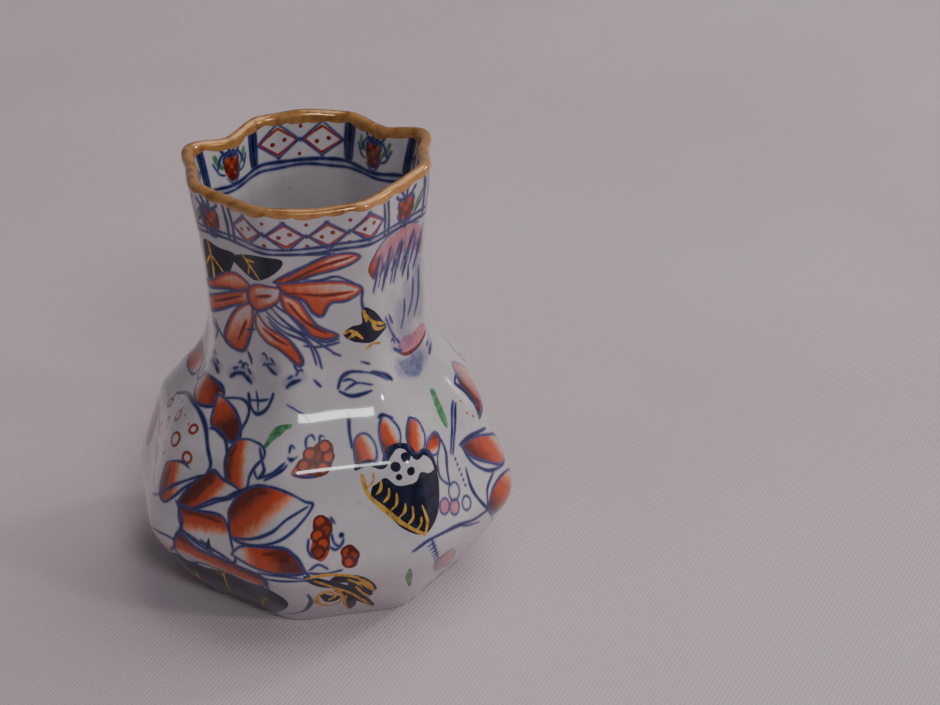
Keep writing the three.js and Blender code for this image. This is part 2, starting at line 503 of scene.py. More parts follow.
def glazedPorcelain():
    look = porcelainFinish
    f = Finish("glazedPorcelain")
    broad = f.noise(55, 3, 0.5)
    fine = f.noise(420, 4, 0.6)
    brush = f.noise(900, 3, 0.6, (1.0, 1.0, 0.35))
    tint = f.blend(f.ramp(broad * 0.7 + fine * 0.3, 0.38, 0.62), look["glazeShade"], look["glaze"])
    speck = f.ramp(f.noise(1500, 1, 0.3), 0.745, 0.79)
    tint = f.blend(speck * 0.55, tint, colour(0.20, 0.15, 0.11))

    def painted(name, low=0.40, high=0.60):
        # a layer's edge, broken a little by the brush
        return f.ramp(f.layer(name) + (brush - 0.5) * 0.16, low, high)

    rose = painted("pink", 0.34, 0.66)
    tint = f.blend(rose * (0.75 + (brush - 0.5)), tint, look["pink"])
    leafy = painted("green")
    tint = f.blend(leafy, tint, f.blend(f.ramp(brush, 0.35, 0.65), look["green"], look["greenPale"]))
    iron = painted("red", 0.36, 0.62)
    tone = f.layer("redTone") + (brush - 0.5) * 0.35 + (fine - 0.5) * 0.2
    deep = f.blend(f.ramp(tone, 0.58, 1.1), look["ironRed"], look["ironDark"])
    warm = f.blend(f.ramp(tone, 0.12, 0.5), look["ironPale"], deep)
    tint = f.blend(iron * f.ramp(tone, 0.0, 0.26), tint, warm)
    wash = f.layer("wash") * (0.72 + (brush - 0.5) * 0.9)
    tint = f.blend(wash.atMost(1.0).atLeast(0.0), tint, look["cobaltThin"])
    dark = painted("navy")
    tint = f.blend(dark, tint, f.blend(f.ramp(fine, 0.4, 0.66), look["navy"], look["navyWorn"]))
    flow = f.ramp(f.layer("cobalt"), 0.0, 0.5) * f.ramp(broad, 0.3, 0.6, 0.34, 0.66)
    tint = f.blend(flow, tint, look["cobaltThin"])
    line = painted("cobalt", 0.32, 0.66)
    ink = f.blend(f.ramp(f.layer("cobalt") + (brush - 0.5) * 0.7, 0.45, 0.95),
                  look["cobaltThin"], look["cobaltDeep"])
    tint = f.blend(line, tint, ink)
    gilt = painted("gold", 0.38, 0.56)
    gilt = gilt * f.ramp(fine + (brush - 0.5) * 0.4, 0.27, 0.36)
    tint = f.blend(gilt, tint, f.blend(f.ramp(brush, 0.3, 0.6), look["goldWorn"], look["gold"]))
    rim = f.ramp(f.layer("rim") + (fine - 0.5) * 0.3 + (brush - 0.5) * 0.12, 0.42, 0.58)
    tint = f.blend(rim, tint, f.blend(f.ramp(broad * 0.35 + fine * 0.65, 0.40, 0.58), look["ochreDark"],
                                      look["ochre"]))
    paint = line.atLeast(dark).atLeast(gilt).atLeast(iron).atLeast(rim)
    gilt = gilt.atLeast(rim * f.ramp(fine, 0.35, 0.6, 0.25, 0.6))
    inside = f.layer("dull")
    rough = 0.13 + broad * 0.08 + iron * 0.10 + gilt * 0.16 + inside * 0.32
    peel = f.bump(broad, 0.0006, 0.30)
    dimple = f.bump(fine, 0.00006, 0.35, peel)
    relief = f.bump(paint, 0.00004, 0.6, dimple)
    return f.surface({"Base Color": tint, "Roughness": rough, "Metallic": gilt * 0.6,
                      "Coat Weight": 0.95 - gilt * 0.5 - dark * 0.4 - inside * 0.85, "Coat Roughness": 0.05,
                      "Specular IOR Level": 0.18,
                      "Normal": relief})


def bareBiscuit():
    f = Finish("bareBiscuit")
    broad = f.noise(70, 4, 0.6)
    grain = f.noise(1800, 4, 0.7)
    tint = f.blend(f.ramp(broad, 0.35, 0.65), colour(0.50, 0.46, 0.42), colour(0.60, 0.57, 0.54))
    rust = f.ramp(f.noise(160, 5, 0.65), 0.60, 0.74)
    tint = f.blend(rust * 0.5, tint, colour(0.33, 0.17, 0.09))
    relief = f.bump(grain, 0.0002, 0.5, f.bump(broad, 0.0008, 0.3))
    return f.surface({"Base Color": tint, "Roughness": 0.62 + grain * 0.25, "Metallic": 0.0,
                      "Normal": relief})


def tableCloth():
    f = Finish("paleCloth")
    broad = f.noise(7, 3, 0.5)
    threads = []
    for turn in (0.62, 2.19):
        turned = f.node("ShaderNodeVectorRotate", {"rotation_type": "Z_AXIS"},
                        {"Vector": f.position(), "Angle": turn})
        threads.append(f.node("ShaderNodeTexWave", {"wave_type": "BANDS", "bands_direction": "X"}, {
            "Vector": turned, "Scale": 330, "Distortion": 1.5, "Detail": 2, "Detail Scale": 0.6}, 1))
    weave = threads[0] * 0.5 + threads[1] * 0.5
    tint = f.blend(f.ramp(broad * 0.8 + (weave - 0.5) * 0.35 + 0.1, 0.3, 0.7),
                   colour(0.475, 0.397, 0.424), colour(0.555, 0.466, 0.495))
    return f.surface({"Base Color": tint, "Roughness": 0.93, "Metallic": 0.0,
                      "Normal": f.bump(weave, 0.0003, 0.35)})


# ---------- the jug's wall ----------
def wallLine(fineGap, coarseGap):
    # (apothem, height) and the painter's distance for every ring of the wall, and where the lip starts
    w = wallShape
    seat, ceiling, recess, foot, off = w["discSeat"], w["ceiling"], w["recess"], w["footInside"], w["turnOff"]
    underside = [(0.8, ceiling), (seat - 0.4, ceiling), (seat, ceiling - 0.4), (seat, recess + off),
                 (seat - off, recess), (foot + off, recess), (foot, recess - off), (foot, 0.5),
                 (foot + off / 2, 0.15), (foot + 0.5, 0.0)] + w["footBottom"]
    under = np.concatenate([spaced(underside[i:i + 2], coarseGap)[:-1] for i in range(len(underside) - 1)])
    outer = spaced(easedLine(w["outline"]), fineGap)
    turn = np.linspace(0, math.pi, max(6, int(math.pi * w["rimRound"] / fineGap)))[1:-1]
    top = w["outline"][-1]
    lip = np.stack([top[0] - w["rimRound"] * (1 - np.cos(turn)), top[1] + w["rimRound"] * np.sin(turn)], 1)
    inner = easedLine(w["inside"])
    painted = inner[:, 1] > w["paintedDownTo"]
    upper = spaced(inner[painted], fineGap)
    lower = spaced(inner[~painted], coarseGap)
    line = np.concatenate([under, outer, lip, upper, lower])
    steps = np.linalg.norm(np.diff(line, axis=0), axis=1)
    along = np.concatenate([[0], np.cumsum(steps)])
    return line, along - along[len(under)], len(under) + len(outer)


def unevenSurface(angle, along):
    # slow waves of hand work, different from place to place
    waves = [(3, 0.052, 0.4), (5, 0.083, 2.1), (2, 0.110, 4.0), (7, 0.037, 5.2), (4, 0.140, 1.3)]
    total = sum(np.sin(count * angle + rate * along + shift + 1.7 * np.sin(0.06 * along + count))
                for count, rate, shift in waves)
    return total / len(waves)


def buildWall():
    fineGap, coarseGap, columns = ((0.3, 1.4, 960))
    line, along, lipStart = wallLine(fineGap, coarseGap)
    angle = np.arange(columns) * 2 * math.pi / columns
    points = wallPoint(line[:, :1], line[:, 1:], angle[None, :])
    # waves push the wall inwards only, so that it never leaves its envelope
    wave = (unevenSurface(angle[None, :], along[:, None]) - 1) * wallShape["unevenness"]
    fade = np.clip(line[:, 1:] / 6, 0, 1)
    outward = np.stack([np.sin(angle), -np.cos(angle), np.zeros(columns)], -1)[None]
    points = points + outward * (wave * fade)[..., None]
    piece = meshFromGrid("jugWall", points)
    girth = np.maximum(line[:, 0] * 1.03, 1.0)
    painter = PaintedWall(np.arange(columns) * 360 / columns, along, girth)
    addBakeMap(piece, len(line), columns, along)
    return piece, painter, along[lipStart]


wall, painter, lipStart = buildWall()
print("wall made:", len(wall.data.vertices), "points; lip begins at", round(lipStart, 1), "mm")


# ---------- the painted flowers ----------
def paintHeart(p):
    # the pale heart of the big flower, with its scalloped line and ringed dots
    heart = [(-92, 50), (-84, 53), (-75, 54.5), (-66, 54.5), (-59, 52), (-53.5, 47.5), (-50, 44),
             (-51, 41.5), (-56, 40.5), (-61, 42.5), (-68, 40.5), (-72, 37.5), (-76, 32), (-90, 29),
             (-101, 36)]
    p.reserve(heart)
    p.stroke("cobalt", heart[:8], 0.85)
    p.stroke("cobalt", [(-56, 51.5), (-51, 51.5), (-46.5, 49.5), (-44, 46.5), (-44, 44)], 0.6)
    for place, size in (((-68, 46), 1.5), ((-62.5, 50), 1.0), ((-60, 43.5), 1.2), ((-75, 41.5), 1.5),
                        ((-82, 45), 1.4), ((-76, 49.5), 1.2), ((-89, 41), 1.5), ((-83, 37), 1.2),
                        ((-91, 47.5), 1.1)):
        p.ring("red", place, size, 0.7, 0.85)
    for i in range(7):
        p.dot("red", (-97 + 5.2 * i, 51.5 - 0.25 * (i - 4) ** 2), 0.32, 0.6)
    p.haze("wash", [(-88, 31), (-80, 29), (-74, 30)], 6, 0.20)
    p.haze("rim", [(-90, 37), (-83, 35.5), (-77.5, 32)], 5, 0.62)


def paintPetals(p):
    # the petals on one side of the heart: outline, darkest place, palest place
    petals = [
        ([(-80, 60), (-70, 62), (-60, 61.5), (-56.5, 58.5), (-61, 56), (-71, 55.5), (-79, 57)],
         (-60, 61), (-80, 57)),
        ([(-60, 59.5), (-53, 58.3), (-47, 56.5), (-42.5, 54), (-41.3, 50.5), (-46, 50), (-52, 51.3),
          (-57, 53)], (-50, 52.5), (-61, 62)),
        ([(-42, 51), (-36.5, 52), (-30, 51.5), (-28.5, 49.5), (-31, 47), (-33, 44), (-33.5, 41.5),
          (-37, 40.3), (-41, 41), (-43.5, 43), (-44.5, 47.5)], (-43.5, 46), (-33.5, 47)),
        ([(-69, 40.5), (-63, 42), (-58, 41.5), (-53, 40.5), (-58, 37), (-62, 33.5), (-65, 31.5),
          (-68.5, 32.5), (-70, 36)], (-69, 37), (-59, 38)),
        ([(-60, 32.5), (-57.5, 36.5), (-53, 40.5), (-48.5, 42.8), (-44, 41.5), (-37, 40.5),
          (-39, 38.3), (-45, 36), (-51, 33.5), (-55, 32.5)], (-52, 39), (-44.5, 35.5)),
        ([(-40, 35), (-36.5, 39.5), (-30, 42.8), (-23.5, 43.3), (-18, 42), (-13.5, 40), (-11, 39),
          (-14.5, 35.5), (-20, 32), (-26.5, 30), (-32, 29), (-37, 29.3), (-39, 32)], (-35, 38.5), (-25, 32)),
        ([(-59, 32.3), (-52, 32.5), (-43, 33.3), (-39.3, 31.3), (-37.5, 28.5), (-35.5, 24), (-41, 23.3),
          (-48.5, 24.5), (-55, 26.5), (-58, 29)], (-50, 33.5), (-48, 26.5)),
        ([(-37, 25.5), (-34, 28), (-27.5, 29.5), (-20, 30), (-16.5, 28), (-14.5, 25.5), (-14.3, 23.5),
          (-21, 23.8), (-30, 24.5)], (-20, 29), (-36, 24.5)),
        ([(-57.5, 26.5), (-49, 23.5), (-38, 23.2), (-27, 22.5), (-25.5, 19.5), (-32, 17.5), (-43, 18.5),
          (-52, 18), (-57.5, 16.5), (-60, 19.5)], (-42, 23.5), (-43, 17.5)),
    ]
    for outline, dark, pale in petals:
        p.petal(outline, dark, pale, 0.55)
    # veins and second lines inside the petals
    for line in ([(-12.5, 38.8), (-19, 36.3), (-23.5, 33.3), (-30, 30.7), (-36, 29.5)],
                 [(-53, 33), (-47, 36), (-42, 37.5), (-38, 39.5), (-31, 42.5)],
                 [(-31, 51), (-29, 48.5), (-27.5, 46.5), (-29.5, 44.5), (-31.5, 46)],
                 [(-29.5, 44.5), (-24, 46.5), (-20.5, 48.8)], [(-27, 44.5), (-21.5, 47), (-19.5, 48.3)],
                 [(-55, 59), (-48, 59.8), (-43, 59.3), (-40.5, 57), (-41.5, 54), (-42.5, 51)],
                 [(-43.5, 61.5), (-41, 58.5), (-40.8, 55)],
                 [(-49, 26), (-43.5, 24.8), (-37.5, 23.8)], [(-57.5, 27), (-50, 25.5), (-44, 24.3)],
                 [(-60.5, 33), (-57, 29.5), (-57, 26), (-59.5, 23.5)],
                 [(-77, 39.5), (-72, 41.2), (-66.5, 42.3), (-61, 42.5)],
                 [(-74, 30), (-69, 32), (-63, 36), (-58, 38.5), (-52, 41)]):
        p.stroke("cobalt", line, 0.6)
    p.dot("navy", (-46, 25.6), 0.75)
    p.stroke("navy", [(-46, 27.2), (-46, 25.5), (-47, 24.5)], 0.7)
    for line in ([(-66, 40), (-66.5, 36), (-66, 33)], [(-41.5, 50), (-42.5, 46.5), (-41.5, 42.5)],
                 [(-36, 37.5), (-31, 41), (-25, 42)], [(-55, 34), (-51, 38), (-47.5, 41)],
                 [(-26, 28), (-20, 28.8), (-16.5, 26.5)], [(-56, 31.3), (-49, 31.8), (-42, 31.8)]):
        p.stroke("red", line, 0.8, 0.3, 1.0)


def paintLowerLeaf(p):
    # the broad navy leaf under the flower, its gold veins and the petals beside it
    leaf = [(-80, 10), (-69, 15.5), (-58.5, 19), (-52, 16.5), (-41, 18.3), (-28, 18.3), (-22.5, 15),
            (-21, 10.5), (-25.5, 5), (-33, 0.8), (-52, 0.5), (-70, 0.8), (-79, 5)]
    p.fill("navy", leaf)
    p.stroke("cobalt", [(-23.5, 4), (-17, 6), (-13.5, 11), (-14, 15)], 0.9)
    for vein in ([(-49.5, 4), (-46.5, 10), (-44, 15.5), (-44, 19)], [(-44.3, 15), (-47.5, 18), (-50, 20)],
                 [(-44, 15.5), (-41.5, 18.5), (-38, 20)], [(-66, 3), (-61, 8), (-58, 13)],
                 [(-61, 8), (-65, 10.5)], [(-34, 4), (-31, 9), (-28, 12)]):
        p.stroke("gold", vein, 0.5)
    p.petal([(-86, 10), (-79, 16.5), (-74, 20.8), (-68.5, 23.5), (-59, 23.5), (-63, 18.8), (-70, 15.5),
             (-77, 12.3), (-85, 8.5)], (-76, 15), (-64, 24.5), 0.4)
    p.petal([(-90, 8.5), (-80, 9), (-76, 5.5), (-79, 1), (-89, 1)], (-86, 6), (-76, 3), 0.4)


def paintScrollLeaf(p):
    # black and gold leaf that curls at the foot
    for line, width in (([(-14, 22.5), (-9, 19.5), (-3.5, 16.7), (2, 11.5), (9, 4.5)], 1.9),
                        ([(-5, 16), (0, 10.5), (0.5, 3.5)], 1.5), ([(-6, 20.5), (2.5, 19), (7.5, 13)], 2.0),
                        ([(-2, 14.5), (4, 9.5), (9.5, 4)], 1.5), ([(-1, 18), (4.5, 14), (7, 11)], 1.3),
                        ([(-9.5, 14), (-7, 11.5), (-4.5, 12)], 1.8)):
        p.stroke("navy", line, width * 1.5, 0.3)
    for line, width in (([(-14, 22), (-7, 22.3), (1, 20.5), (6, 16), (8, 12.5)], 0.65),
                        ([(-11.5, 21), (-6, 17), (-3, 12), (-4, 8)], 0.6),
                        ([(-6, 17), (0, 13), (5, 8), (9, 3.3)], 0.6),
                        ([(-4, 8.5), (-8, 7.8), (-11.5, 10.5), (-10.5, 14.3), (-7, 15), (-5.5, 12.5),
                          (-7.5, 11)], 0.8),
                        ([(-1.5, 12.5), (-2, 8), (-0.5, 4)], 0.45),
                        ([(2.5, 18), (5.5, 15), (7.5, 13.3)], 0.5),
                        ([(1.5, 16), (4, 12.5), (7, 10)], 0.5), ([(-1.5, 20), (2, 17.5), (3.5, 15)], 0.5)):
        p.stroke("gold", line, width * 1.3, 0.4)
    for line in ([(-27.5, 23.3), (-20, 23.3), (-14.5, 22)], [(-26.5, 22), (-19, 21.7), (-13.5, 21.3)],
                 [(-14.5, 25), (-13, 23), (-12.5, 21)], [(-26.5, 21.5), (-25.5, 18.5), (-27, 16)]):
        p.stroke("cobalt", line, 0.55)


def paintBerries(p):
    # clusters of small dark berries with curled stems
    def cluster(outline, places, size):
        p.fill("red", outline, outline[0], outline[len(outline) // 2], 0.6, 1.0, 0.3)
        for k, place in enumerate(places):
            p.dot("red", place, size * (1 + 0.15 * math.sin(2.3 * k)), 0.75 + 0.15 * math.sin(1.9 * k))
            p.ring("red", place, size, 0.45, 1.2)

    cluster([(-18, 46.8), (-15, 45.3), (-9, 45), (-5, 46), (-3, 49), (-3, 52), (-7, 53), (-10, 52),
             (-13, 50.5)],
            [(-13.8, 48), (-10.4, 46.8), (-7, 46.9), (-5, 49.3), (-9, 49.8), (-11.7, 50.4), (-6, 51.6)], 1.35)
    cluster([(-12, 28.5), (-9, 26), (-6.5, 28), (-6, 31.5), (-5, 34.5), (-8, 36.3), (-11, 35), (-11, 32)],
            [(-8.8, 35), (-7.2, 33), (-9.8, 32), (-8.2, 30), (-9.8, 28.2)], 1.4)
    cluster([(-3, 25), (-1, 23.5), (1.5, 24), (2.3, 27), (0.5, 29), (-2, 28.5)],
            [(-1.2, 27.4), (0.8, 26.6), (-0.8, 25)], 1.25)
    for line in ([(-13, 51.5), (-13.2, 53.7), (-11, 54.4), (-9.7, 53.2)],
                 [(-8, 52.5), (-7.5, 54), (-5.8, 53.5)],
                 [(-19, 51), (-18.8, 52.6), (-17.4, 52)], [(-19.5, 50), (-18, 49.2), (-16.3, 50)],
                 [(-17.3, 46.3), (-14.3, 45.6), (-10, 45.2)], [(-5.5, 32), (-4.8, 29.8), (-3, 28.8)],
                 [(-6.5, 29.3), (-4.5, 28.3), (-2.5, 29.4), (-1.8, 30.6)],
                 [(-12.5, 24.3), (-9.8, 25.4), (-7.2, 24)],
                 [(-13.3, 23.7), (-8.5, 22.8), (-3, 23.2)], [(-12.5, 31.5), (-12.7, 29), (-11.5, 27.3)],
                 [(-5.5, 35.7), (-4.2, 34.3)]):
        p.stroke("cobalt", line, 0.5)
    p.dot("cobalt", (-2.4, 31.4), 0.6)
    p.dot("cobalt", (-18.2, 49.5), 0.5)
    p.stroke("green", [(-29, 51.5), (-26.5, 54.3), (-23, 56.3), (-19.5, 57)], 1.7, 0.25)


def paintFanFlower(p):
    # the small open flower: four red fingers over a navy cup with a gilded edge
    fingers = [
        ([(4.8, 46.3), (5.2, 51), (8, 53.3), (11.5, 53.2), (13.3, 50.5), (11.5, 47)], (5, 49), (13.5, 50)),
        ([(15.3, 47.5), (15.8, 53), (19.3, 56.7), (22.5, 55.8), (24.2, 52.7), (21.5, 49.5)],
         (15.5, 51), (24, 52)),
        ([(25.2, 47), (26, 51), (31, 53.7), (34.7, 52.2), (34.7, 49), (30.3, 46.3)],
         (26.5, 51.5), (34.5, 48.5)),
        ([(31.5, 45.8), (35, 47.5), (40.4, 47.8), (39.8, 45.3), (35.5, 43.5)], (37, 47.5), (36, 43.5)),
    ]
    for outline, dark, pale in fingers:
        p.petal(outline, dark, pale, 0.4)
    p.stroke("cobalt", [(6, 58.5), (4.7, 54.5), (4.5, 50.5)], 0.7)
    p.stroke("cobalt", [(17.5, 56.5), (20, 57), (23.5, 55.8)], 0.7)
    p.stroke("cobalt", [(27, 52), (31.5, 54), (35, 52), (34.5, 49.5)], 0.5)
    cup = [(6.5, 45), (8, 40), (12, 36.5), (17, 32), (23, 28.8), (29.5, 31.5), (33.2, 36.7), (34, 41),
           (33, 44), (30.3, 46.3), (26.5, 46), (24.3, 48.8), (20.4, 49.9), (16.5, 48.5), (13.7, 46),
           (9.3, 47.2)]
    p.reserve(cup)
    p.fill("navy", [(9, 41.3), (8.5, 38.5), (12.5, 35), (17, 30.9), (23, 28.9), (29.3, 31.7), (33, 36.7),
                    (33.6, 40.6), (30, 41), (26.5, 42.3), (24, 41), (21, 40.8), (17, 41.2), (14, 43.2),
                    (11, 42.2)])
    p.stroke("navy", [(4.6, 46), (9.3, 47), (13.7, 45.8), (16.5, 48.3), (20.4, 49.7), (24.3, 48.7),
                      (26.5, 45.8), (30.3, 46), (33.2, 43.7), (33.8, 40.5)], 1.35, 0.8)
    for place, size in (((17.9, 45.3), 1.15), ((22.3, 46.8), 1.15), ((18.3, 42.9), 0.75),
                        ((22.8, 43.5), 1.0)):
        p.dot("navy", place, size)
    p.stroke("gold", [(6.3, 44.5), (7.5, 40), (11.5, 36.5), (17, 32.2), (22.8, 28.8)], 0.95, 0.6)
    for i in range(7):
        at = 0.1 + i * 0.135
        a, s = 6.6 + 15.5 * at, 43.2 - 14.0 * at
        p.stroke("gold", [(a - 0.4, s - 0.3), (a + 1.5, s + 0.9),
                          (a + 2.1, s + 3.0 + 0.7 * math.sin(3 * i))], 0.5, 0.25)
    p.stroke("gold", [(22.9, 28.9), (24.6, 31.5), (24, 35.3)], 0.6, 0.3)


def paintSprigs(p):
    # stems, pink fruit and loose leaves to the right of the small flower
    for line, width in (([(43.3, 41.3), (47.5, 45.3), (53, 49), (57.5, 51.2)], 0.6),
                        ([(44.3, 40.8), (48.5, 44.7), (53.7, 48.2), (58, 50.5)], 0.6),
                        ([(40.6, 46), (41.2, 42.5), (39.3, 39), (38.2, 35.5)], 0.75),
                        ([(39.5, 45), (36, 42.5), (34.5, 39), (36.5, 36.5), (39, 35)], 0.5),
                        ([(48.3, 36), (47.8, 31.5), (49.5, 27.5), (52.5, 24)], 0.8),
                        ([(18.2, 25.7), (23.7, 27.2), (31.4, 26.7), (39.1, 25.4), (45.7, 24), (53.4, 23.7)],
                         0.7),
                        ([(24.5, 27.5), (25.3, 24.5), (27, 21)], 0.5),
                        ([(37, 26), (41.5, 24), (48.5, 22)], 0.45),
                        ([(39, 11), (47.5, 6.5), (61, 1)], 0.9), ([(36, 13.5), (44, 7.5), (52, 3)], 0.6),
                        ([(52.5, 24), (60, 17), (69, 12.5), (80, 10.5), (92, 9.5)], 0.9),
                        ([(76, 11.5), (81, 7), (88, 1.5)], 0.9), ([(73, 14), (82, 13), (87, 16.5)], 0.6),
                        ([(84, 21), (88, 18), (93, 16)], 0.9)):
        p.stroke("cobalt", line, width)
    for i in range(6):
        p.stroke("cobalt", [(22.8 + 0.5 * i, 25.8 - i), (25.6 + 0.4 * i, 26.2 - i)], 0.35)
        p.dot("cobalt", (44.8 + 0.15 * i, 39.5 - 1.35 * i), 0.32)
    p.fill("wash", [(52, 12), (57, 11.2), (63, 7.5), (68.5, 3), (63, 4.5), (56, 9)])
    for place, size in (((33, 32), 1.75), ((37.4, 30.2), 1.75)):
        p.dot("pink", place, size)
        p.ring("cobalt", place, size, 0.35)
    for place, size in (((39.3, 33.4), 2.0), ((43.4, 29), 1.6)):
        p.ring("cobalt", place, size, 0.4)
    p.stroke("green", [(51.8, 56), (49.5, 52.5), (46.5, 47)], 1.9, 0.25)
    p.stroke("green", [(17.2, 21), (18, 17), (19.6, 12.7)], 1.3, 0.3)
    p.petal([(26, 20.5), (32.5, 20.8), (40, 15.8), (42, 11.2), (35, 12), (31, 13.7), (27, 17)],
            (31, 15), (41, 19), 0.3, 1.0, 0.3)
    for line in ([(34, 20.5), (38.5, 16.5), (42, 12)], [(29, 14), (33, 12.5), (38, 11)]):
        p.stroke("cobalt", line, 0.45)


def paintSecondFlower(p):
    # the near petals of the flower that goes on round the side
    petals = [
        ([(49.5, 41.3), (56.5, 41.3), (63.5, 39.5), (70, 36.5), (70, 31.5), (65.5, 30.7), (60, 33.3),
          (53.5, 37)], (54, 38.5), (68, 43)),
        ([(52.8, 24.5), (56.5, 27.5), (63, 28.8), (70, 27), (70, 21.5), (61.2, 20.5), (55.5, 21.3)],
         (55, 23), (69, 31)),
        ([(70, 18), (76, 21), (84, 20.5), (84, 14.5), (78, 11.8), (72.5, 12.3)], (74, 14), (88, 19)),
        ([(63, 44), (65.5, 49), (66.5, 52.5), (73, 55), (82, 54), (91, 49), (90, 42.5), (81, 45), (73, 46),
          (68, 45)], (67, 51), (92, 43)),
    ]
    for outline, dark, pale in petals:
        p.petal(outline, dark, pale, 0.6)
    for line, width in (([(50, 41), (52, 36.5), (57, 32.5), (62, 31), (67, 30.3)], 0.7),
                        ([(49, 41.7), (56, 41.9), (64, 41)], 0.9),
                        ([(64.5, 54), (66, 50.5), (65.5, 47)], 1.3),
                        ([(52.5, 24.5), (54.5, 28.5), (60, 31)], 0.6),
                        ([(64, 54), (70, 54.5), (78, 52)], 0.6)):
        p.stroke("cobalt", line, width)
    for place in ((60.5, 50), (59, 47), (60.5, 45.5)):
        p.dot("red", place, 0.35, 0.5)


def paintShoulder(p):
    # loose blue leaves and a cup on the shoulder
    for line, width in (([(2.5, 64), (5, 66.3), (10, 67.5), (16, 67.2)], 0.7),
                        ([(3, 63.3), (9, 62), (18, 62.7)], 0.7),
                        ([(20.5, 66.9), (27, 65.3), (31, 63.2)], 0.8),
                        ([(6, 63.5), (12, 64.8), (19, 64)], 0.4),
                        ([(16, 67.2), (22, 66.2), (28, 63.8)], 0.4),
                        ([(5, 65.5), (9, 65.8), (12, 64.9)], 0.4),
                        ([(16, 69.7), (20, 68.8)], 0.4), ([(-46, 71), (-44.5, 69.6), (-43.8, 68.4)], 0.6),
                        ([(-44, 61.5), (-41, 59), (-36.5, 57.8), (-32, 59.5), (-30, 62), (-29.3, 63.4)], 0.7),
                        ([(-41.5, 60.3), (-36, 60.9), (-31.5, 61.8)], 0.5),
                        ([(-39.5, 62.5), (-37.5, 60.5), (-36, 58.2)], 0.45),
                        ([(-22, 61.5), (-15, 59.5), (-12, 57.5)], 0.45)):
        p.stroke("cobalt", line, width)
    # loose leaf touches, each bunch a little different
    bunches = ((-73, 65, 1.0), (-52, 65, 1.1), (-31, 69, -0.9), (66, 64.2, 1.0), (-19, 66.3, 0.9),
               (41, 68.8, -0.8))
    for k, (a, s, size) in enumerate(bunches):
        swing = 0.5 * math.sin(2.2 * k)
        p.stroke("cobalt", [(a - 4 * size, s - 1.2), (a - 1 * size, s - 0.3 + swing),
                            (a + 4 * size, s + 0.6)], 0.8, 0.2)
        p.stroke("cobalt", [(a - 3 * size, s + 0.9), (a - 0.5 * size, s + 1.9 - swing)], 0.55, 0.3)
        p.stroke("cobalt", [(a + 1.5 * size, s + 1.6), (a + 3.6 * size, s + 2.9),
                            (a + 5.4 * size, s + 2.6)], 0.5, 0.3)
        p.haze("wash", [(a - 3 * size, s), (a + 4 * size, s + 1.2)], 3.8, 0.5)


